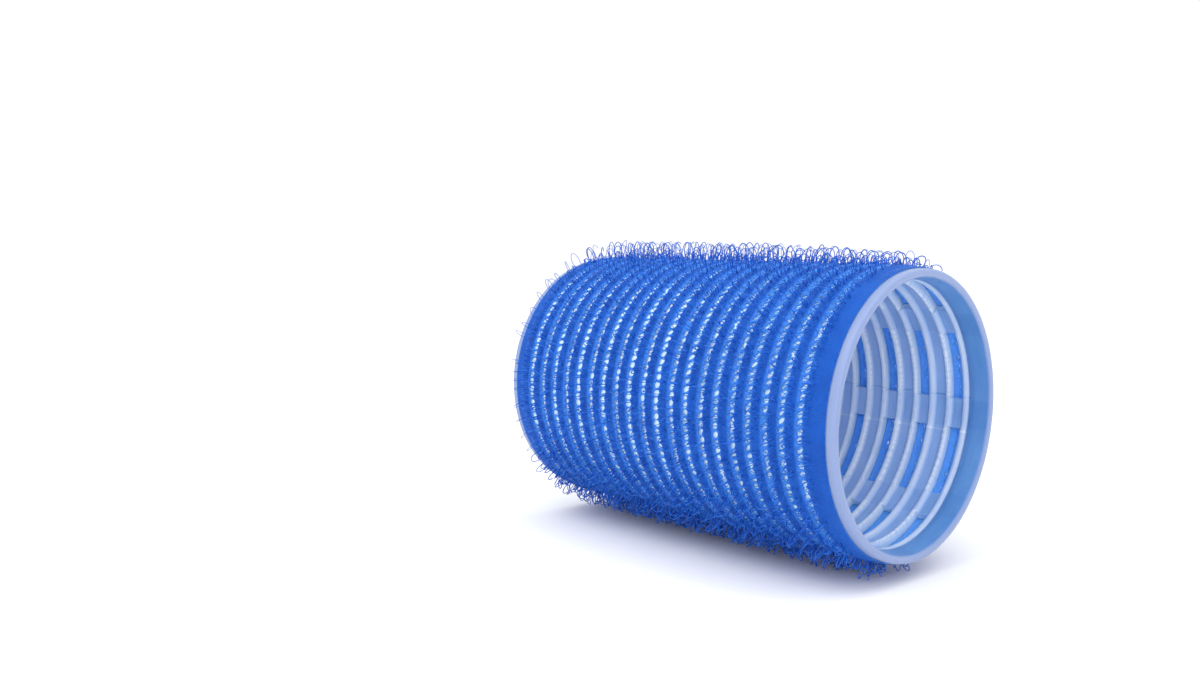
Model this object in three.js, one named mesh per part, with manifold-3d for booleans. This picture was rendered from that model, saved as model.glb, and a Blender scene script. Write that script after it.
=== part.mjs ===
// Self-grip hair roller: an open plastic core, a woven sleeve bonded on it, and rows of hooks on that.
// Millimetres, +Z up. The roller lies on its side, its axis along X, with its lowest hooks on the plane Z = 0.
// The origin is on that plane, under the middle of the axis.

import * as THREE from "three";
import * as BufferGeometryUtils from "three/addons/utils/BufferGeometryUtils.js";
import Module from "manifold-3d";

// ---- driving dimensions -------------------------------------------------------------------------

const CORE_LENGTH = 63.3;
const CORE_OUTER_RADIUS = 20.0;
const CORE_WALL = 1.5;
const RIM_ROUNDING = 0.4;

const WEAVE_PITCH = 2.78;          // from one hook row to the next
const HOOK_ROWS = 21;
const HOOK_ROW_WIDTH = 1.7;
const HOOK_TIP_HEIGHT = 22.75;     // from the axis to the flat that the roller lies on

const GROOVE_COUNT = 20;           // round the bore, each one midway between two hook rows
const GROOVE_DEPTH = 0.6;
const GROOVE_WIDTH = 1.78;         // at its mouth
const GROOVE_DRAFT = 0.1;          // how far each side leans in

const WINDOW_ROWS = 10;            // in every second groove, from the +X mouth on
const WINDOW_WIDTH = 1.9;          // along the axis
const BAR_COUNT = 8;
const BAR_ANGLE = 13;              // degrees of the circle that one lengthwise bar takes
const BAR_PHASE = -5;              // degrees from +Y, towards +Z, to the middle of the first bar

const SLEEVE_LENGTH = 61.7;
const SLEEVE_THICKNESS = 0.35;
const FITTING_GAP = 0.06;          // core to cloth, and cloth to hook rows

const TUBE_SIDES = 40;
const HOOK_SIDES = 24;

// ---- worked out from them -----------------------------------------------------------------------

const BORE_RADIUS = CORE_OUTER_RADIUS - CORE_WALL;
const GROOVE_RADIUS = BORE_RADIUS + GROOVE_DEPTH;
const WINDOW_ANGLE = 360 / BAR_COUNT - BAR_ANGLE;
const SLEEVE_INNER_RADIUS = CORE_OUTER_RADIUS + FITTING_GAP;
const SLEEVE_OUTER_RADIUS = SLEEVE_INNER_RADIUS + SLEEVE_THICKNESS;
const HOOK_FLAT_RATIO = Math.cos(Math.PI / HOOK_SIDES);
const HOOK_ROOT_RADIUS = (SLEEVE_OUTER_RADIUS + FITTING_GAP) / HOOK_FLAT_RATIO;
const HOOK_TIP_RADIUS = HOOK_TIP_HEIGHT / HOOK_FLAT_RATIO;

// ---- materials ----------------------------------------------------------------------------------

const milkyPlastic = new THREE.MeshStandardMaterial({ color: 0xb4c6ea, roughness: 0.42, metalness: 0 });
const blueCloth = new THREE.MeshStandardMaterial({ color: 0x2461cb, roughness: 0.85, metalness: 0 });
const blueFilament = new THREE.MeshStandardMaterial({ color: 0x2f6bd2, roughness: 0.35, metalness: 0 });

// ---- shape helpers ------------------------------------------------------------------------------

// A closed section of [radius, x] corners turned about the X axis, with one flat facet straight down.
function turned(section, sides) {
  const corners = section.map(([radius, x]) => new THREE.Vector2(radius, x));
  corners.push(corners[0].clone());
  const ring = new THREE.LatheGeometry(corners, sides);
  ring.rotateY(Math.PI / sides);
  ring.rotateZ(-Math.PI / 2);
  return ring;
}

function ringSection(innerRadius, outerRadius, length) {
  const half = length / 2;
  return [
    [innerRadius, -half],
    [outerRadius, -half],
    [outerRadius, half],
    [innerRadius, half],
  ];
}

// Where one of `count` features, spaced by the weave and counted from the +X mouth, has its middle.
function rowMiddle(index, count) {
  return ((count - 1) / 2 - index) * WEAVE_PITCH;
}

function grooveSection(middle) {
  const mouth = GROOVE_WIDTH / 2;
  const floor = mouth - GROOVE_DRAFT;
  return [
    [BORE_RADIUS, middle + mouth],
    [GROOVE_RADIUS, middle + floor],
    [GROOVE_RADIUS, middle - floor],
    [BORE_RADIUS, middle - mouth],
  ];
}

// The core's wall: both edges of each rim are eased by RIM_ROUNDING, and grooves leave low ridges inside.
function coreSection() {
  const end = CORE_LENGTH / 2;
  const shoulder = end - RIM_ROUNDING;
  const section = [
    [BORE_RADIUS + RIM_ROUNDING, -end],
    [CORE_OUTER_RADIUS - RIM_ROUNDING, -end],
    [CORE_OUTER_RADIUS, -shoulder],
    [CORE_OUTER_RADIUS, shoulder],
    [CORE_OUTER_RADIUS - RIM_ROUNDING, end],
    [BORE_RADIUS + RIM_ROUNDING, end],
    [BORE_RADIUS, shoulder],
  ];
  for (let groove = 0; groove < GROOVE_COUNT; groove += 1) {
    section.push(...grooveSection(rowMiddle(groove, GROOVE_COUNT)));
  }
  section.push([BORE_RADIUS, -shoulder]);
  return section;
}

// A wedge that cuts one window through the wall. Its sides run along radii and its middle is on +Y.
function windowCutter() {
  const innerReach = BORE_RADIUS - CORE_WALL;
  const outerReach = CORE_OUTER_RADIUS + CORE_WALL;
  const halfAngle = THREE.MathUtils.degToRad(WINDOW_ANGLE / 2);
  const outline = new THREE.Shape();
  outline.moveTo(innerReach * Math.cos(halfAngle), -innerReach * Math.sin(halfAngle));
  outline.lineTo(outerReach * Math.cos(halfAngle), -outerReach * Math.sin(halfAngle));
  outline.lineTo(outerReach, 0);
  outline.lineTo(outerReach * Math.cos(halfAngle), outerReach * Math.sin(halfAngle));
  outline.lineTo(innerReach * Math.cos(halfAngle), innerReach * Math.sin(halfAngle));
  outline.closePath();
  const wedge = new THREE.ExtrudeGeometry(outline, { depth: WINDOW_WIDTH, bevelEnabled: false });
  wedge.translate(0, 0, -WINDOW_WIDTH / 2);
  wedge.rotateX(Math.PI / 2);
  wedge.rotateZ(Math.PI / 2);
  return wedge;
}

// ---- booleans -----------------------------------------------------------------------------------

const wasm = await Module();
wasm.setup();

function toSolid(geometry) {
  const bare = geometry.clone();
  bare.deleteAttribute("normal");
  bare.deleteAttribute("uv");
  const merged = BufferGeometryUtils.mergeVertices(bare);
  const mesh = new wasm.Mesh({
    numProp: 3,
    vertProperties: Float32Array.from(merged.attributes.position.array),
    triVerts: Uint32Array.from(merged.index.array),
  });
  return new wasm.Manifold(mesh);
}

function toGeometry(solid) {
  const mesh = solid.getMesh();
  const geometry = new THREE.BufferGeometry();
  geometry.setAttribute("position", new THREE.BufferAttribute(mesh.vertProperties, 3));
  geometry.setIndex(new THREE.BufferAttribute(mesh.triVerts, 1));
  geometry.computeVertexNormals();
  return geometry;
}

// ---- sub-parts ----------------------------------------------------------------------------------

function makeCore() {
  let core = toSolid(turned(coreSection(), TUBE_SIDES));
  for (let row = 0; row < WINDOW_ROWS; row += 1) {
    for (let bar = 0; bar < BAR_COUNT; bar += 1) {
      const angle = BAR_PHASE + ((bar + 0.5) * 360) / BAR_COUNT;
      const cutter = windowCutter();
      cutter.rotateX(THREE.MathUtils.degToRad(angle));
      cutter.translate(rowMiddle(2 * row, GROOVE_COUNT), 0, 0);
      core = core.subtract(toSolid(cutter));
    }
  }
  return new THREE.Mesh(toGeometry(core), milkyPlastic);
}

function makeSleeve() {
  const section = ringSection(SLEEVE_INNER_RADIUS, SLEEVE_OUTER_RADIUS, SLEEVE_LENGTH);
  return new THREE.Mesh(turned(section, TUBE_SIDES), blueCloth);
}

function makeHookRow() {
  const section = ringSection(HOOK_ROOT_RADIUS, HOOK_TIP_RADIUS, HOOK_ROW_WIDTH);
  return new THREE.Mesh(turned(section, HOOK_SIDES), blueFilament);
}

// ---- assembly -----------------------------------------------------------------------------------

const roller = new THREE.Group();
roller.position.z = HOOK_TIP_HEIGHT;

const core = makeCore();
core.name = "core_tube";
roller.add(core);

const sleeve = makeSleeve();
sleeve.name = "fabric_sleeve";
roller.add(sleeve);

for (let row = 0; row < HOOK_ROWS; row += 1) {
  const hooks = makeHookRow();
  hooks.name = `hook_row_${String(row + 1).padStart(2, "0")}`;
  hooks.position.x = rowMiddle(row, HOOK_ROWS);
  roller.add(hooks);
}

export default roller;
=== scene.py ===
import math

import bpy
import numpy as np
from mathutils import Matrix, Vector


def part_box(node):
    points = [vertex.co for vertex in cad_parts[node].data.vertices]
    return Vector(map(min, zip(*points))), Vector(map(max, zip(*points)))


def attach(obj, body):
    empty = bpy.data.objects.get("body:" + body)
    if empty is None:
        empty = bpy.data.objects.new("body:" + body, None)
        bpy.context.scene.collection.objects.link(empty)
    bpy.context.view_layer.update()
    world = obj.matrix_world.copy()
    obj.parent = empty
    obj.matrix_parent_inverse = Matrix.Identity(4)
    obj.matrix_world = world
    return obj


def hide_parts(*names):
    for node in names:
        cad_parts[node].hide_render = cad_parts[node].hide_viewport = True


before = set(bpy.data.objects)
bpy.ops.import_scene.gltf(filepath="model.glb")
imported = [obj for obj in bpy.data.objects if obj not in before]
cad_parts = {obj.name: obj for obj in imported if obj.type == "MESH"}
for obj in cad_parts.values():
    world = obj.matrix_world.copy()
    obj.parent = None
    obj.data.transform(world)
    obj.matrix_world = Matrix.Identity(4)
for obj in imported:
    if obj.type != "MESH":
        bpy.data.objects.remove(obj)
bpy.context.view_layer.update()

MM = 0.001
TAU = 2 * math.pi
rng = np.random.default_rng(41)

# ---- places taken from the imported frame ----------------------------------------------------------

core_low, core_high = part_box("core_tube")
cloth_low, cloth_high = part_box("fabric_sleeve")
ROW_NODES = sorted(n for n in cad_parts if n.startswith("hook_row_"))
MOUTH_X = core_high.x
AXIS_Z = (core_low.z + core_high.z) / 2
CORE_LENGTH = (core_high.x - core_low.x) / MM
CORE_OUTER = 20.0  # radii and lengths are in mm from here on, unless MM or the name says otherwise
BORE = 18.5
HEM = 0.5  # how far the cloth has drawn back from its nominal edge
CLOTH_START = (core_high.x - cloth_high.x) / MM + HEM
CLOTH_LENGTH = (cloth_high.x - cloth_low.x) / MM - 2 * HEM
CLOTH_INNER = 20.06
CLOTH_OUTER = 20.41
# How far in from the +X mouth each hook row is, and each row of holes between two of them.
ROW_S = [(MOUTH_X - (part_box(n)[0].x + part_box(n)[1].x) / 2) / MM for n in ROW_NODES]
PITCH = ROW_S[1] - ROW_S[0]
GAP_S = [s + PITCH / 2 for s in ROW_S[:-1]]


def place(s, phi, r):
    """Points s mm in from the +X mouth, at phi from -Y towards +Z, r mm from the axis."""
    s, phi, r = np.broadcast_arrays(s, phi, r)
    x = MOUTH_X - s * MM
    y = -r * MM * np.cos(phi)
    z = AXIS_Z + r * MM * np.sin(phi)
    return np.stack([x, y, z], -1)


# ---- mesh helpers --------------------------------------------------------------------------------


def make_object(name, points, quads, *materials, slots=None):
    """One object from an array of points and an array of quads. slots tells each quad's material."""
    mesh = bpy.data.meshes.new(name)
    points = np.ascontiguousarray(points.reshape(-1, 3), np.float32)
    quads = np.ascontiguousarray(quads, np.int32)
    mesh.vertices.add(len(points))
    mesh.vertices.foreach_set("co", points.ravel())
    mesh.loops.add(quads.size)
    mesh.loops.foreach_set("vertex_index", quads.ravel())
    mesh.polygons.add(len(quads))
    mesh.polygons.foreach_set("loop_start", np.arange(0, quads.size, 4, dtype=np.int32))
    for material in materials:
        mesh.materials.append(material)
    if slots is not None:
        mesh.polygons.foreach_set("material_index", np.ascontiguousarray(slots, np.int32))
    mesh.update(calc_edges=True)
    mesh.validate()
    mesh.shade_smooth()
    obj = bpy.data.objects.new(name, mesh)
    bpy.context.scene.collection.objects.link(obj)
    return obj


NEAR_SIDE = 3


def shell(outer, inner, keep):
    """A closed wall between two grids of points [line, column] that go round in columns.

    keep is False for the cells of the holes. Gives back the points in use and the quads, which of all the
    given points are in use, and the side that each quad is on: 0 outer, 1 inner, and in the openings 2 for
    the side with the higher line, NEAR_SIDE for the one with the lower line, 4 and 5 between columns.
    """
    lines, columns = outer.shape[:2]
    index = np.arange(lines * columns).reshape(lines, columns)
    nxt = np.roll(index, -1, axis=1)
    base = lines * columns
    a, b, c, d = index[:-1], nxt[:-1], nxt[1:], index[1:]
    top = np.stack([a, b, c, d], -1)[keep]
    low = np.stack([d, c, b, a], -1)[keep] + base
    walls = []

    def wall(p, q, where):
        walls.append(np.stack([q, p, p + base, q + base], -1)[where])

    none = np.zeros((1, columns), bool)
    above = np.vstack([none, keep])
    below = np.vstack([keep, none])
    wall(index, nxt, below & ~above)
    wall(nxt, index, above & ~below)
    left = np.roll(keep, 1, axis=1)
    wall(d, a, keep & ~left)
    wall(a, d, left & ~keep)
    groups = [top, low, *walls]
    quads = np.vstack(groups)
    side = np.repeat(np.arange(len(groups)), [len(group) for group in groups])
    points = np.concatenate([outer.reshape(-1, 3), inner.reshape(-1, 3)])
    used = np.zeros(len(points), bool)
    used[quads.ravel()] = True
    renumber = np.cumsum(used) - 1
    return points[used], renumber[quads], used, side


def float_attribute(obj, name, values):
    layer = obj.data.attributes.new(name, "FLOAT", "POINT")
    layer.data.foreach_set("value", np.ascontiguousarray(values, np.float32))


def uv_from_points(obj, name, uv):
    """Writes a per-vertex uv, whose u counts turns round the roller, to every corner of every quad."""
    layer = obj.data.uv_layers.new(name=name)
    corner = np.zeros(len(obj.data.loops), np.int32)
    obj.data.loops.foreach_get("vertex_index", corner)
    uv = uv[corner].reshape(-1, 4, 2)
    crosses = np.ptp(uv[..., 0], axis=1) > 0.5
    uv[..., 0] += crosses[:, None] & (uv[..., 0] < 0.5)
    layer.data.foreach_set("uv", np.ascontiguousarray(uv, np.float32).ravel())


# ---- materials -----------------------------------------------------------------------------------


class Nodes:
    """Short calls for building one node material. Each call gives back the socket that holds its result."""

    def __init__(self, name):
        self.material = bpy.data.materials.new(name)
        self.material.use_nodes = True
        self.tree = self.material.node_tree
        self.tree.nodes.clear()
        self.out = self.tree.nodes.new("ShaderNodeOutputMaterial")
        self.shader = self.tree.nodes.new("ShaderNodeBsdfPrincipled")
        self.link(self.shader.outputs[0], self.out.inputs[0])

    def link(self, a, b):
        self.tree.links.new(a, b)

    def add(self, kind, **settings):
        node = self.tree.nodes.new(kind)
        for key, value in settings.items():
            setattr(node, key, value)
        return node

    def feed(self, socket, value):
        if isinstance(value, bpy.types.NodeSocket):
            self.link(value, socket)
        else:
            socket.default_value = value

    def math(self, operation, a, b=0.0):
        node = self.add("ShaderNodeMath", operation=operation)
        self.feed(node.inputs[0], a)
        self.feed(node.inputs[1], b)
        return node.outputs[0]

    def span(self, value, low, high, to_low=0.0, to_high=1.0):
        node = self.add("ShaderNodeMapRange", clamp=True)
        self.feed(node.inputs["Value"], value)
        node.inputs["From Min"].default_value = low
        node.inputs["From Max"].default_value = high
        node.inputs["To Min"].default_value = to_low
        node.inputs["To Max"].default_value = to_high
        return node.outputs[0]

    def noise(self, scale, detail, roughness, stretch=None):
        node = self.add("ShaderNodeTexNoise")
        node.inputs["Scale"].default_value = scale
        node.inputs["Detail"].default_value = detail
        node.inputs["Roughness"].default_value = roughness
        source = self.add("ShaderNodeTexCoord").outputs["Object"]
        if stretch is not None:
            scaled = self.add("ShaderNodeVectorMath", operation="MULTIPLY")
            self.link(source, scaled.inputs[0])
            scaled.inputs[1].default_value = stretch
            source = scaled.outputs[0]
        self.link(source, node.inputs["Vector"])
        return node.outputs["Fac"]

    def mix(self, factor, a, b):
        node = self.add("ShaderNodeMix", data_type="RGBA")
        colour_a, colour_b, colour_out = node.inputs[6], node.inputs[7], node.outputs[2]
        self.feed(node.inputs["Factor"], factor)
        self.feed(colour_a, a)
        self.feed(colour_b, b)
        return colour_out

    def bump(self, height, distance, strength):
        node = self.add("ShaderNodeBump")
        node.inputs["Strength"].default_value = strength
        node.inputs["Distance"].default_value = distance
        self.link(height, node.inputs["Height"])
        return node.outputs[0]


# The weave's relief: how often it repeats round the roller, and after how many mm along it.
TWILLS_ROUND, TWILL_PITCH = 248, 0.47
PICKS_ROUND, ENDS_PITCH = 224, 0.36


def linear(red, green, blue):
    """A screen colour of 0 to 255 as the linear colour of the same look."""
    out = []
    for value in (red, green, blue):
        v = value / 255
        out.append(v / 12.92 if v <= 0.04045 else ((v + 0.055) / 1.055) ** 2.4)
    return (*out, 1.0)


def milky_plastic():
    """The core's moulding: its tone follows the attributes milk, outside and rim, with cloudy flow lines."""
    n = Nodes("milky_plastic")
    milk = n.add("ShaderNodeAttribute", attribute_name="milk").outputs["Fac"]
    cloud = n.noise(160.0, 3.0, 0.55)
    streak = n.noise(1.0, 2.0, 0.5, stretch=(2500.0, 260.0, 260.0))
    shade = n.math("ADD", milk, n.math("MULTIPLY", n.math("SUBTRACT", cloud, 0.5), 0.22))
    shade = n.math("ADD", shade, n.math("MULTIPLY", n.math("SUBTRACT", streak, 0.5), 0.12))
    ramp = n.add("ShaderNodeValToRGB")
    stops = ramp.color_ramp.elements
    stops[0].color = linear(66, 120, 186)
    stops[1].color = linear(222, 234, 250)
    for position, tint in ((0.25, (98, 148, 206)), (0.5, (158, 190, 234)), (0.8, (186, 205, 234))):
        stops.new(position).color = linear(*tint)
    n.link(shade, ramp.inputs[0])
    outside = n.add("ShaderNodeAttribute", attribute_name="outside").outputs["Fac"]
    base = n.mix(outside, ramp.outputs[0], linear(216, 242, 252))
    rim = n.add("ShaderNodeAttribute", attribute_name="rim").outputs["Fac"]
    n.link(n.mix(rim, base, linear(130, 148, 190)), n.shader.inputs["Base Color"])
    n.link(n.span(cloud, 0.3, 0.7, 0.3, 0.44), n.shader.inputs["Roughness"])
    n.shader.inputs["IOR"].default_value = 1.49
    n.shader.inputs["Subsurface Weight"].default_value = 0.35
    n.shader.inputs["Subsurface Radius"].default_value = (0.7, 0.85, 1.0)
    n.shader.inputs["Subsurface Scale"].default_value = 1.2 * MM
    fine = n.noise(900.0, 2.0, 0.6)
    n.link(n.bump(fine, 0.03 * MM, 0.5), n.shader.inputs["Normal"])
    return n.material


def lit_plastic():
    """The windows' near sides, painted in the pale blue of the light that comes in through the cloth behind
    them.
    """
    n = Nodes("cloth_lit_plastic")
    cloud = n.noise(160.0, 3.0, 0.55)
    # The tint is painted light: the pale blue of light coming in through the cloth.
    tint = n.mix(n.span(cloud, 0.3, 0.7), linear(92, 156, 240), linear(110, 176, 255))
    n.link(tint, n.shader.inputs["Base Color"])
    n.link(n.span(cloud, 0.3, 0.7, 0.36, 0.5), n.shader.inputs["Roughness"])
    n.shader.inputs["Specular IOR Level"].default_value = 0.3
    n.shader.inputs["Subsurface Weight"].default_value = 0.5
    n.shader.inputs["Subsurface Radius"].default_value = (0.35, 0.7, 1.0)
    n.shader.inputs["Subsurface Scale"].default_value = 0.6 * MM
    fine = n.noise(900.0, 2.0, 0.6)
    n.link(n.bump(fine, 0.03 * MM, 0.5), n.shader.inputs["Normal"])
    return n.material


def ground_cloth():
    """The woven ground: its tone follows the attributes thin and inner, with the weave as relief. Its inner
    face is painted paler, as painted light that comes in through the cloth.
    """
    n = Nodes("blue_ground_cloth")
    uv = n.add("ShaderNodeUVMap", uv_map="weave")
    split = n.add("ShaderNodeSeparateXYZ")
    n.link(uv.outputs[0], split.inputs[0])
    around, along = split.outputs[0], split.outputs[1]
    # Warp ends run round the roller and picks run along it, so each is a rib across the other.
    turning = n.math("MULTIPLY", around, TAU * TWILLS_ROUND)
    rising = n.math("MULTIPLY", along, TAU / TWILL_PITCH)
    diagonal, counter = n.math("ADD", turning, rising), n.math("SUBTRACT", turning, rising)
    twill = n.math("MAXIMUM", n.math("SINE", diagonal), n.math("SINE", counter))
    ends = n.math("ABSOLUTE", n.math("SINE", n.math("MULTIPLY", along, TAU / ENDS_PITCH)))
    picks = n.math("ABSOLUTE", n.math("SINE", n.math("MULTIPLY", around, TAU * PICKS_ROUND)))
    crossings = n.math("MULTIPLY", n.math("MULTIPLY", ends, picks), 0.65)
    relief = n.math("ADD", n.math("MULTIPLY", twill, 0.35), crossings)
    fuzz = n.noise(4200.0, 3.0, 0.65)
    patch = n.noise(230.0, 3.0, 0.55)
    relief = n.math("ADD", relief, n.math("MULTIPLY", fuzz, 0.5))
    tone = n.math("ADD", n.math("MULTIPLY", relief, 0.30), n.math("MULTIPLY", patch, 0.75))
    deep, pale = linear(5, 66, 157), linear(18, 98, 200)
    ground = n.mix(n.span(tone, 0.25, 0.95), deep, pale)
    thin = n.add("ShaderNodeAttribute", attribute_name="thin").outputs["Fac"]
    ground = n.mix(n.math("MULTIPLY", thin, 0.7), ground, linear(72, 142, 234))
    # Painted light: the inner face gets a paler blue, as if light came in through the cloth into the dark
    # space within the core.
    inner = n.add("ShaderNodeAttribute", attribute_name="inner").outputs["Fac"]
    ground = n.mix(inner, ground, linear(104, 172, 255))
    n.link(ground, n.shader.inputs["Base Color"])
    n.link(n.span(fuzz, 0.3, 0.7, 0.52, 0.74), n.shader.inputs["Roughness"])
    n.shader.inputs["Specular IOR Level"].default_value = 0.2
    n.shader.inputs["Subsurface Weight"].default_value = 0.5
    n.shader.inputs["Subsurface Radius"].default_value = (0.35, 0.7, 1.0)
    n.shader.inputs["Subsurface Scale"].default_value = 0.6 * MM
    n.shader.inputs["Sheen Weight"].default_value = 0.12
    n.shader.inputs["Sheen Roughness"].default_value = 0.45
    n.shader.inputs["Sheen Tint"].default_value = linear(120, 170, 255)
    n.link(n.bump(relief, 0.06 * MM, 0.8), n.shader.inputs["Normal"])
    return n.material


def filament(name, deep, pale, opacity):
    n = Nodes(name)
    vary = n.noise(700.0, 2.0, 0.5)
    n.link(n.mix(n.span(vary, 0.3, 0.7), deep, pale), n.shader.inputs["Base Color"])
    n.link(n.span(vary, 0.35, 0.65, 0.28, 0.44), n.shader.inputs["Roughness"])
    n.shader.inputs["Specular IOR Level"].default_value = 0.4
    n.shader.inputs["Alpha"].default_value = opacity
    fine = n.noise(3000.0, 2.0, 0.6)
    n.link(n.bump(fine, 0.01 * MM, 0.5), n.shader.inputs["Normal"])
    return n.material


CORE_MATERIAL = milky_plastic()
WINDOW_PAINTED_LIGHT_MATERIAL = lit_plastic()
CLOTH_MATERIAL = ground_cloth()
CLEAR_FILAMENT = filament("clear_blue_filament", linear(12, 86, 190), linear(44, 128, 230), 0.42)
OPAQUE_FILAMENT = filament("dense_blue_filament", linear(9, 78, 178), linear(26, 106, 212), 1.0)

# ---- core ----------------------------------------------------------------------------------------

BARS = 8
BAR_WIDTH = math.radians(13)
BAR_PHASE = math.radians(185.3)  # the middle of the first bar
BAR_COLUMNS, WINDOW_COLUMNS = 17, 43
WINDOW_NEAR = 0.7  # from a row's middle to the side towards the +X mouth, inside the bore
WINDOW_FAR = 1.24
WINDOW_DRAFT = 0.85  # how much farther from the mouth that near side is at the wall's outer face
GROOVE_FLOOR = 19.1
GROOVE_LINES = (-0.73, 0.0, 0.4, 0.73)
RIDGE_HALF = 0.62
RIDGE_BLUNT = 0.55  # the power that rounds a ridge's section: 1 is a parabola, less is flatter on top
RIDGE_LINES = (-0.62, -0.54, -0.46, -0.36, -0.24, -0.12, 0.0, 0.12, 0.24, 0.36, 0.46, 0.54, 0.62)
BEADED = (1, 3, 4, 6, 9, 11, 12, 14, 17, 19)  # the ridges that have teeth
TOOTH_HALF = 0.7  # along the roller
TOOTH_PITCH = 0.9
TOOTH_HEIGHT = 0.06
BAR_TOOTH = 0.15  # how much of a tooth is left where a bar crosses the ridge
SEAM_ANGLE = math.radians(8.2)  # from the first bar's middle to each parting line
SEAM_HALF = 0.16
SEAM_HEIGHT = 0.12
SEAM_SHADE_AND_LIGHT = ((-1, -0.8), (1, 1.0))  # painted shade makes the upper line darker than the bar, painted light makes the lower one paler
RIM_ROUND = 0.45
RIM_LINES = (0.0, 0.02, 0.07, 0.15, 0.27, RIM_ROUND, 0.9, 1.5, 2.2, 2.9)
LIP_FLARE = 0.3  # how much thinner the wall is at its ends
LIP_INNER, LIP_OUTER = 2.8, 0.4  # where the flare starts and where it is full
COLLAR_WIDTH = 3.2
COLLAR_INNER, COLLAR_OUTER = ROW_S[0] - 0.35, ROW_S[0] - 0.75  # the step down to the first groove
EASED_EDGE = 0.09
EASED_ANGLE = math.radians(55)


def smooth(x, low, high):
    t = np.clip((x - low) / (high - low), 0, 1)
    return t * t * (3 - 2 * t)


def max_over(centres, shape):
    """The highest of one shape's copies, one for each centre."""
    return np.max([shape(centre) for centre in centres], axis=0)


def core_lines():
    """Axial places of the core's grid lines, closer together where its section turns."""
    lines = list(RIM_LINES) + [CORE_LENGTH - line for line in RIM_LINES]
    lines += [ridge + offset for ridge in ROW_S for offset in RIDGE_LINES]
    lines += [groove + offset for groove in GAP_S for offset in GROOVE_LINES]
    for window in GAP_S[::2]:
        lines += [window - WINDOW_NEAR, window + WINDOW_FAR]
    return np.array(sorted(set(round(line, 4) for line in lines)))


def core_columns():
    """The angles of the core's grid columns, and which of them belong to a window."""
    bar = BAR_WIDTH * np.arange(BAR_COLUMNS) / BAR_COLUMNS
    window = BAR_WIDTH + (TAU / BARS - BAR_WIDTH) * np.arange(WINDOW_COLUMNS) / WINDOW_COLUMNS
    starts = BAR_PHASE - BAR_WIDTH / 2 + np.arange(BARS) * TAU / BARS
    phi = (starts[:, None] + np.r_[bar, window][None]).ravel()
    in_window = np.tile(np.arange(BAR_COLUMNS + WINDOW_COLUMNS) >= BAR_COLUMNS, BARS)
    return phi, in_window


def core_teeth(s, phi, in_window):
    """Small teeth on some ridges, where the cloth's feet are pressed into the moulding, from 0 to 1."""
    beaded = [ROW_S[row] for row in BEADED]
    along = max_over(beaded, lambda centre: np.clip(1 - np.abs(s - centre) / TOOTH_HALF, 0, 1))
    turn = phi * BORE
    uneven = 2.2 * np.sin(turn / 1.7) + 1.5 * np.sin(turn / 0.61)
    around = 0.5 + 0.5 * np.sin(turn * TAU / TOOTH_PITCH + uneven)
    return along[:, None] * (around * np.where(in_window, 1.0, BAR_TOOTH))[None, :]


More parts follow.
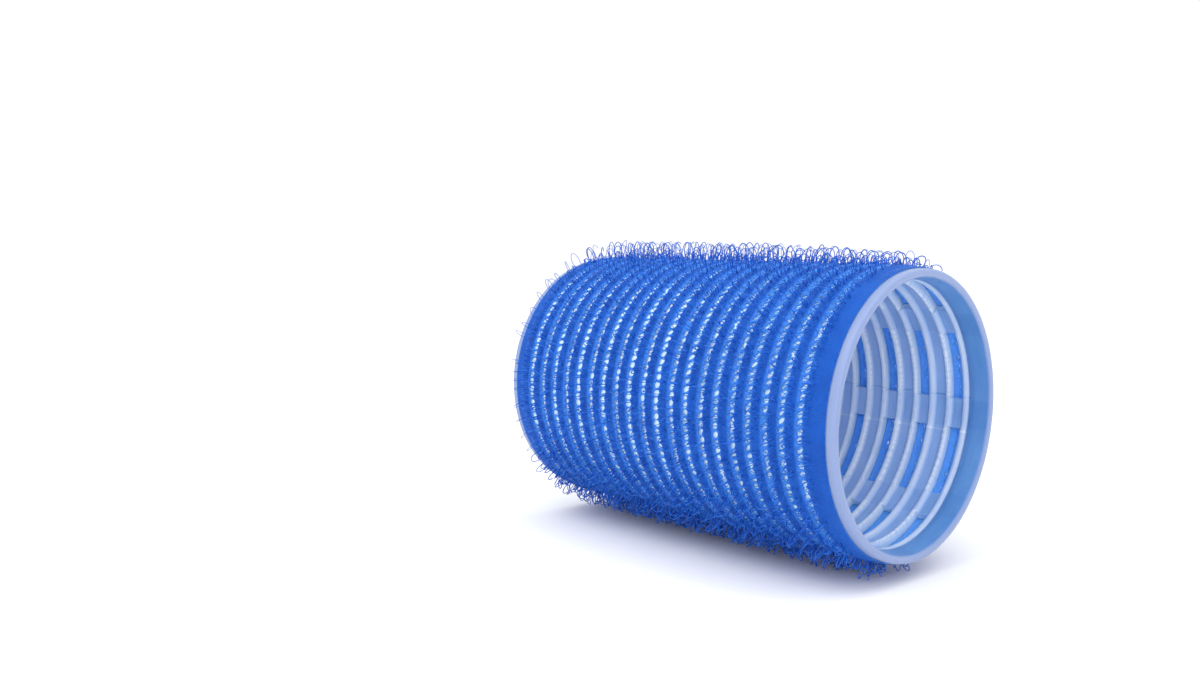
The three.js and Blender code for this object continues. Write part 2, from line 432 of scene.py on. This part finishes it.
def make_core():
    s = core_lines()
    phi, in_window = core_columns()
    end = np.minimum(s, CORE_LENGTH - s)
    dome = max_over(ROW_S, lambda centre: np.clip(1 - ((s - centre) / RIDGE_HALF) ** 2, 0, None))
    ridge = dome ** RIDGE_BLUNT
    collar = smooth(end, COLLAR_INNER, COLLAR_OUTER)
    inner = GROOVE_FLOOR - (GROOVE_FLOOR - BORE) * np.maximum(ridge, collar)
    inner += LIP_FLARE * smooth(end, LIP_INNER, LIP_OUTER)
    rounding = RIM_ROUND - np.sqrt(np.clip(RIM_ROUND**2 - np.clip(RIM_ROUND - end, 0, None) ** 2, 0, None))
    inner_grid = np.repeat((inner + rounding)[:, None], len(phi), 1)
    outer_grid = np.repeat((CORE_OUTER - rounding)[:, None], len(phi), 1)
    teeth = core_teeth(s, phi, in_window)
    inner_grid -= TOOTH_HEIGHT * teeth
    # Two parting lines run along the moulding, one on each side of one bar. The upper one is painted darker
    # as shade, the lower one paler as painted light.
    seam_light_and_shade = np.zeros_like(inner_grid)
    for way, tone in SEAM_SHADE_AND_LIGHT:
        angle = BAR_PHASE + way * SEAM_ANGLE
        apart = np.abs((phi - angle + math.pi) % TAU - math.pi) * BORE
        line = np.clip(1 - apart / SEAM_HALF, 0, 1) * (end > COLLAR_WIDTH)[:, None]
        inner_grid -= SEAM_HEIGHT * line
        seam_light_and_shade += tone * line
    # The windows narrow outwards, so their near side slants under the cloth's holes.
    keep = np.ones((len(s) - 1, len(phi)), bool)
    cell_middle = (s[:-1] + s[1:]) / 2
    outer_s = s.copy()
    for window in GAP_S[::2]:
        near, far = window - WINDOW_NEAR, window + WINDOW_FAR
        keep[np.ix_((cell_middle > near) & (cell_middle < far), in_window)] = False
        within = (s > near - 0.001) & (s < far + 0.001)
        outer_s[within] += WINDOW_DRAFT * (far - s[within]) / (far - near)
    outer_points = place(outer_s[:, None], phi[None], outer_grid)
    points, quads, used, side = shell(outer_points, place(s[:, None], phi[None], inner_grid), keep)
    # The far rim is a wall of the same kind as the windows' near sides, but no light comes through the cloth
    # onto it, so it gets no painted light.
    at_far_rim = points[quads].mean(axis=1)[:, 0] < core_low.x + 1.0 * MM
    near_side = (side == NEAR_SIDE) & ~at_far_rim
    core = make_object("core_moulding", points, quads, CORE_MATERIAL, WINDOW_PAINTED_LIGHT_MATERIAL, slots=near_side)
    # How milky each place looks: ridges are thick and pale, and the collar and the groove floors are thin,
    # with the blue cloth behind them.
    milk = 0.45 + 0.42 * ridge - 0.26 * collar + 0.12 * smooth(end, 3.0, 22.0)
    # The teeth are painted paler, as painted glints along the ridges.
    milk = np.repeat(milk[:, None], len(phi), 1) + 0.35 * teeth + 0.4 * seam_light_and_shade
    milk += np.where(in_window, 0.0, -0.05)[None]
    float_attribute(core, "milk", np.concatenate([np.ones(milk.size), milk.ravel()])[used])
    float_attribute(core, "outside", np.repeat([1.0, 0.0], milk.size)[used])
    rim_inside = np.repeat(smooth(end, 0.5, 0.12), len(phi))
    rim_outside = np.repeat((end < CLOTH_START + 0.9).astype(float), len(phi))
    float_attribute(core, "rim", np.concatenate([rim_outside, rim_inside])[used])
    bevel = core.modifiers.new("eased_edges", "BEVEL")
    bevel.width = EASED_EDGE * MM
    bevel.segments = 2
    bevel.limit_method = "ANGLE"
    bevel.angle_limit = EASED_ANGLE
    return core


core = make_core()
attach(core, "root")
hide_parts("core_tube")

# ---- ground cloth --------------------------------------------------------------------------------

HOLES = 112  # in each row
HOLE_STEP = TAU / HOLES
HOLE_CELLS = 4
THREAD_CELLS = 2
HOLE_SHARE = 0.66  # how much of each step the cells of its hole take
HOLE_MIDDLE = HOLE_SHARE / 2
HOLE_LINES = 0.42  # from a row's middle to the grid lines that its holes' ends are taken from
BAND_EDGE = 0.76  # from a row's middle to the dense band beside it
CROWN_HALF = 1.15  # from a band's middle to where its crown ends
WINDOW_HOLE_HALF = 0.5  # at most, along the roller, for a hole over the core's windows
OPEN_SHARE = 0.985  # how many holes are open at all
JOINED_SHARE = 0.07  # how many holes run into the next one
WINDOW_SHIFT = -0.14  # the holes over the windows lie this far towards the mouth
THREAD_REACH = 0.62  # half the length of a thread that crosses a hole
THREAD_HEIGHT = 20.2
SELVAGE_LINES = (1.75, 2.15, 2.55)  # from the cloth's end


def cloth_lines():
    """Axial places of the cloth's grid lines, and for each hole row the index of its middle line."""
    lines = list(np.linspace(CLOTH_START, GAP_S[0] - BAND_EDGE, 16))
    middles = []
    for k, middle in enumerate(GAP_S):
        lines += [middle - HOLE_LINES, middle - HOLE_LINES / 2]
        middles.append(len(lines))
        lines += [middle, middle + HOLE_LINES / 2, middle + HOLE_LINES]
        if k < len(GAP_S) - 1:
            lines += list(np.linspace(middle + BAND_EDGE, GAP_S[k + 1] - BAND_EDGE, 7))
    lines += list(np.linspace(GAP_S[-1] + BAND_EDGE, CLOTH_START + CLOTH_LENGTH, 16))
    return np.array(lines), middles


def crossing_threads(base):
    """Fine threads that slant over the holes, most of them near the mouth, as thin four-sided rods."""
    points, uvs = [], []
    corner = np.arange(4) * TAU / 4
    for middle in GAP_S:
        share = 0.2 + 0.75 * float(smooth(middle, 30.0, 12.0))
        for h in range(HOLES):
            if rng.random() > share:
                continue
            along = middle + np.array([-THREAD_REACH, 0.0, THREAD_REACH])
            slant = rng.uniform(0.15, 0.45) * rng.choice((1, 1, 1, -1))
            angle = (h + HOLE_MIDDLE + rng.normal(0, 0.1)) * HOLE_STEP
            angle = angle - slant * (along - middle) / CLOTH_OUTER
            height = THREAD_HEIGHT + np.array([0.0, 0.04 + rng.uniform(0, 0.06), 0.0])
            half = rng.uniform(0.07, 0.11)
            rod = place(
                along[:, None] + np.zeros(4),
                angle[:, None] + half * np.cos(corner) / CLOTH_OUTER,
                height[:, None] + half * np.sin(corner),
            )
            points.append(rod.reshape(-1, 3))
            uvs.append(np.stack([np.repeat((angle / TAU) % 1.0, 4), np.repeat(along, 4)], -1))
    # Each rod has three rings of four points.
    cell = np.arange(12).reshape(3, 4)
    turn = np.roll(cell, -1, 1)
    one = np.stack([cell[:-1], turn[:-1], turn[1:], cell[1:]], -1).reshape(-1, 4)
    one = np.vstack([one, cell[0][::-1][None], cell[-1][None]])
    starts = base + 12 * np.arange(len(points))
    return np.concatenate(points), (one[None] + starts[:, None, None]).reshape(-1, 4), np.concatenate(uvs)


def shape_hole(s_grid, phi_grid, line, columns, row, h):
    """Moves the 5 by 5 grid points of one hole to a slanted oval. line is the grid line of its middle.

    Near the mouth the holes are smaller and slant more.
    """
    near_mouth = smooth(GAP_S[row], 34.0, 10.0)
    half_round = (0.52 - 0.08 * near_mouth) * rng.uniform(0.86, 1.04)
    half_along = (0.63 - 0.07 * near_mouth) * rng.uniform(0.8, 1.05)
    tilt = (0.15 + 0.42 * near_mouth) * rng.uniform(0.4, 1.6)
    centre = (h + HOLE_MIDDLE + float(np.clip(rng.normal(0, 0.04), -0.05, 0.05))) * HOLE_STEP
    shift = rng.normal(0, 0.04)
    if row % 2 == 0:
        half_along, shift = min(half_along, WINDOW_HOLE_HALF), shift + WINDOW_SHIFT
    five = np.linspace(-1.0, 1.0, 5)
    v, u = np.meshgrid(five, five, indexing="ij")
    distance = np.hypot(u, v)
    rounding = np.where(distance > 0, np.maximum(abs(u), abs(v)) / np.maximum(distance, 0.1), 1.0)
    along = v * rounding * half_along
    block = np.ix_(np.arange(line - 2, line + 3), columns)
    s_grid[block] = GAP_S[row] + shift + along
    phi_grid[block] = centre + (u * rounding * half_round - tilt * along) / CLOTH_OUTER


def cloth_height(s, phi_grid):
    """The outer radius: bands crowned by their pile ground, ribs between the holes, lines in the selvage."""
    crown = max_over(ROW_S, lambda centre: np.clip(1 - ((s - centre) / CROWN_HALF) ** 2, 0, 1))[:, None]
    rib = 0.5 + 0.5 * np.cos((phi_grid / HOLE_STEP - HOLE_MIDDLE - 0.5) * TAU)
    from_end = np.minimum(s - s[0], s[-1] - s)
    outer = CLOTH_OUTER - 0.17 + 0.15 * crown + 0.035 * rib * (0.4 + 0.6 * crown)
    outer -= 0.10 * (1 - smooth(from_end, 0.0, 0.35))[:, None]
    outer += 0.04 * sum(np.exp(-(((from_end - line) / 0.09) ** 2)) for line in SELVAGE_LINES)[:, None]
    return outer + 0.012 * rng.normal(0, 1, outer.shape)


def make_cloth():
    s, middles = cloth_lines()
    cells = HOLE_CELLS + THREAD_CELLS
    columns = HOLES * cells
    hole_part = np.linspace(0, HOLE_SHARE, HOLE_CELLS + 1)[:-1]
    thread_part = np.linspace(HOLE_SHARE, 1, THREAD_CELLS + 1)[:-1]
    phi = (np.arange(HOLES)[:, None] + np.r_[hole_part, thread_part][None]).ravel() * HOLE_STEP
    s_grid = np.repeat(s[:, None], columns, 1)
    phi_grid = np.repeat(phi[None], len(s), 0)
    keep = np.ones((len(s) - 1, columns), bool)
    for row, line in enumerate(middles):
        # Nothing uses these draws. They only hold the place of the later ones, on which the shapes depend.
        rng.random()
        rng.normal(size=HOLES)
        for h in range(HOLES):
            first = h * cells
            around = (first + np.arange(HOLE_CELLS + 1)) % columns
            shape_hole(s_grid, phi_grid, line, around, row, h)
            if rng.random() < OPEN_SHARE:
                keep[line - 2:line + 2, first:first + HOLE_CELLS] = False
            if rng.random() < JOINED_SHARE:
                keep[line - 1:line + 1, first + HOLE_CELLS:first + cells] = False
    outer = place(s_grid, phi_grid, cloth_height(s, phi_grid))
    points, quads, used, _ = shell(outer, place(s_grid, phi_grid, CLOTH_INNER), keep)
    strand_points, strand_quads, strand_uv = crossing_threads(len(points))
    points, quads = np.concatenate([points, strand_points]), np.concatenate([quads, strand_quads])
    cloth = make_object("ground_cloth_sleeve", points, quads, CLOTH_MATERIAL)
    thin = np.repeat(max_over(GAP_S, lambda middle: smooth(np.abs(s - middle), 0.80, 0.42)), columns)
    uv = np.stack([(phi_grid / TAU) % 1.0, s_grid], -1).reshape(-1, 2)
    strands = len(strand_points)
    uv_from_points(cloth, "weave", np.concatenate([np.concatenate([uv, uv])[used], strand_uv]))
    float_attribute(cloth, "thin", np.r_[np.concatenate([thin, thin])[used], np.full(strands, 1.3)])
    # inner marks the cloth's inner face, which the material paints paler as painted light.
    float_attribute(cloth, "inner", np.r_[np.repeat([0.0, 1.0], thin.size)[used], np.zeros(strands)])
    return cloth


cloth = make_cloth()
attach(cloth, "root")
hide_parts("fabric_sleeve")

# ---- rows of hooks -------------------------------------------------------------------------------

OUTER_LOOPS = 54  # tall loops in each end row
LOOPS = 72  # tall loops in every other row
STRAYS = 8
SHORT_LOOPS = 132
CUT_SHARE = 0.24  # how many loops are cut open into hooks
LOOP_POINTS = 19
LOOP_START, LOOP_END = math.radians(-68), math.radians(248)
SIDES = 6
FILAMENT_RADIUS = 0.07
LOOP_ROOT = CLOTH_OUTER - 0.12  # the loops' feet are sunk into the cloth
FLOOR_CLEARANCE = 0.02
TOP_SINE = 0.85  # past this sine of its angle a loop is on the roller's top


def loop_path(height, half_width, cut):
    """One loop in its own plane: across and up, from one foot round the top to the other."""
    stop = math.radians(rng.uniform(120, 165)) if cut else LOOP_END
    t = np.linspace(LOOP_START, stop, LOOP_POINTS)
    across = half_width * np.cos(t) * (1 + 0.05 * np.sin(3 * t + rng.uniform(0, TAU)))
    up = height / 2 * (1 + np.sin(t))
    return across, up


def loop_line(k, loops, centre, offset, lean_phase):
    """The middle line of one loop in the row at centre, with its angle, and whether it is cut and opaque."""
    stray = loops <= k < loops + STRAYS
    short = k >= loops + STRAYS
    phi = rng.uniform(0, TAU) if stray else offset + (k + rng.normal(0, 0.12)) * TAU / loops
    sway = math.sin(3 * phi + lean_phase[0]) + math.sin(7 * phi + lean_phase[1])
    lean_along = 0.06 * sway + rng.normal(0, 0.14)
    lean_round = 0.05 * math.sin(5 * phi + lean_phase[2]) + rng.normal(0, 0.1)
    twist = rng.normal(0, 0.28) + (rng.uniform(-0.7, 0.7) if stray else 0)
    free_height = 2.0 + 0.9 * float(smooth(centre, 4.0, 26.0))
    height = free_height * rng.uniform(0.88, 1.06) * (rng.uniform(0.6, 0.95) if stray else 1)
    half_width = 0.78 * rng.uniform(0.8, 1.12)
    if short:
        phi = offset + (k + 0.5 + rng.normal(0, 0.25)) * TAU / SHORT_LOOPS
        height = rng.uniform(0.5, 1.4)
        half_width = 0.4 * rng.uniform(0.8, 1.2)
        twist *= 3
    pressed = float(smooth(-math.sin(phi), 0.4, 0.85))
    height *= 1 + pressed * (0.9 if short else -0.25)
    lean_along += pressed * rng.normal(0, 0.35)
    twist += pressed * rng.normal(0, 0.6)
    cut = rng.random() < CUT_SHARE
    across, up = loop_path(height, half_width, cut)
    room = AXIS_Z / MM - FLOOR_CLEARANCE - FILAMENT_RADIUS
    if (LOOP_ROOT + height) * -math.sin(phi) > room:
        # The roller lies on this loop, which is squeezed and falls to one side.
        squeeze = max((room / -math.sin(phi) - LOOP_ROOT) / height, 0.3)
        up = up * squeeze
        across = across * (1 + 0.35 * (1 - squeeze))
        lean_round += rng.choice((-1, 1)) * rng.uniform(0.3, 0.9)
        twist += rng.normal(0, 0.5)
    along = across * math.cos(twist) + lean_along * up
    tangent = across * math.sin(twist) + lean_round * up * (0.6 + 0.4 * up / height)
    r = LOOP_ROOT + up
    line = place(centre + along, phi + tangent / r, r)
    line[:, 2] = np.maximum(line[:, 2], (FLOOR_CLEARANCE + FILAMENT_RADIUS) * MM)
    opaque = short or pressed > 0.2 or (math.sin(phi) > TOP_SINE and k % 2 == 0)
    return line, phi, cut, opaque


def tube_points(line, phi, cut):
    """Rings of points round a loop's middle line. A cut end is thinner."""
    ahead = np.gradient(line, axis=0)
    ahead /= np.linalg.norm(ahead, axis=1, keepdims=True)
    side = np.cross(ahead, np.array([0.0, math.sin(phi), math.cos(phi)]))
    side /= np.linalg.norm(side, axis=1, keepdims=True)
    up = np.cross(side, ahead)
    radius = np.full(LOOP_POINTS, FILAMENT_RADIUS * rng.uniform(0.9, 1.12)) * MM
    if cut:
        radius[-1] *= 0.7
    ring = np.arange(SIDES) * TAU / SIDES
    outwards = np.cos(ring)[None, :, None] * side[:, None] + np.sin(ring)[None, :, None] * up[:, None]
    return line[:, None] + radius[:, None, None] * outwards


def tube_quads():
    """The quads of one loop's tube, with both ends closed."""
    grid = np.arange(LOOP_POINTS * SIDES).reshape(LOOP_POINTS, SIDES)
    turn = np.roll(grid, -1, 1)
    wall = np.stack([grid[:-1], turn[:-1], turn[1:], grid[1:]], -1).reshape(-1, 4)
    first, last = grid[0], grid[-1]
    ends = [first[[3, 2, 1, 0]], first[[0, 5, 4, 3]], last[[0, 1, 2, 3]], last[[3, 4, 5, 0]]]
    return np.vstack([wall, ends])


def hook_row(name, node, row, centre):
    """One row of the pile as one piece: tall loops and hooks, a few strays, and short loops between them."""
    loops = OUTER_LOOPS if row in (0, len(ROW_S) - 1) else LOOPS
    offset = rng.uniform(0, TAU)
    lean_phase = rng.uniform(0, TAU, 4)  # three are used, and the last one only keeps the draws in order
    tubes, opaque_loops = [], []
    for k in range(loops + STRAYS + SHORT_LOOPS):
        line, phi, cut, opaque = loop_line(k, loops, centre, offset, lean_phase)
        tubes.append(tube_points(line, phi, cut))
        opaque_loops.append(opaque)
    one = tube_quads()
    starts = np.arange(len(tubes)) * LOOP_POINTS * SIDES
    quads = (one[None] + starts[:, None, None]).reshape(-1, 4)
    slots = np.repeat(opaque_loops, len(one))
    row_object = make_object(name, np.concatenate(tubes), quads, CLEAR_FILAMENT, OPAQUE_FILAMENT, slots=slots)
    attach(row_object, "root")
    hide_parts(node)
    return row_object


for index, (node, centre) in enumerate(zip(ROW_NODES, ROW_S)):
    hook_row(f"hook_loops_{index + 1:02d}", node, index, centre)

# ---- floor, light and camera ---------------------------------------------------------------------

FLOOR_SIDE = 4.0  # metres


def make_floor():
    n = Nodes("pale_floor")
    speck = n.span(n.noise(40.0, 2.0, 0.5), 0.2, 0.8)
    tone = n.mix(speck, (0.965, 0.965, 0.97, 1), (0.98, 0.98, 0.98, 1))
    n.link(tone, n.shader.inputs["Base Color"])
    n.shader.inputs["Roughness"].default_value = 0.9
    n.shader.inputs["Specular IOR Level"].default_value = 0.0
    half = FLOOR_SIDE / 2
    corners = np.array([[-half, -half, 0], [half, -half, 0], [half, half, 0], [-half, half, 0]])
    make_object("floor", corners, [[0, 1, 2, 3]], n.material)


def area_light(name, stands_at, target, size, power):
    data = bpy.data.lights.new(name, "AREA")
    data.shape = "DISK"
    data.size = size
    data.energy = power
    obj = bpy.data.objects.new(name, data)
    obj.location = stands_at
    obj.rotation_euler = (Vector(target) - Vector(stands_at)).to_track_quat("-Z", "Y").to_euler()
    bpy.context.scene.collection.objects.link(obj)


def make_world():
    """An even white studio, in the place of the photo's cut-out white."""
    world = bpy.data.worlds.new("studio")
    bpy.context.scene.world = world
    world.use_nodes = True
    background = world.node_tree.nodes["Background"]
    background.inputs["Color"].default_value = (1.0, 1.0, 1.0, 1.0)
    background.inputs["Strength"].default_value = 1.06


def make_camera():
    """The photo's own view: right of the mouth and a little above it, looking back along the roller."""
    data = bpy.data.cameras.new("camera")
    data.sensor_width = 36.0
    data.lens = 32.837  # this, the place and the angles below come from a camera fitted to the photo
    data.clip_start, data.clip_end = 0.005, 20.0
    data.dof.use_dof = False
    camera = bpy.data.objects.new("camera", data)
    bpy.context.scene.collection.objects.link(camera)
    stands_at = (0.108944, -0.131402, 0.044096)
    yaw, pitch, roll = math.radians(47.06), 0.078488, 0.020579
    look = Vector((-math.sin(yaw) * math.cos(pitch), math.cos(yaw) * math.cos(pitch), -math.sin(pitch)))
    right = look.cross(Vector((0, 0, 1))).normalized()
    up = right.cross(look)
    rolled_right = right * math.cos(roll) + up * math.sin(roll)
    rolled_up = up * math.cos(roll) - right * math.sin(roll)
    basis = Matrix((rolled_right, rolled_up, -look)).transposed()
    camera.matrix_world = Matrix.Translation(stands_at) @ basis.to_4x4()
    bpy.context.scene.camera = camera


make_floor()
area_light("key", stands_at=(-0.10, -0.40, 0.62), target=(0, 0, 0.02), size=0.5, power=1.4)
area_light("top", stands_at=(0.25, 0.10, 0.75), target=(0, 0, 0.02), size=0.6, power=1.2)
area_light("fill", stands_at=(0.34, -0.36, 0.26), target=(0.02, 0, 0.02), size=0.4, power=0.6)
make_world()
make_camera()
bpy.context.scene.view_settings.view_transform = "Standard"
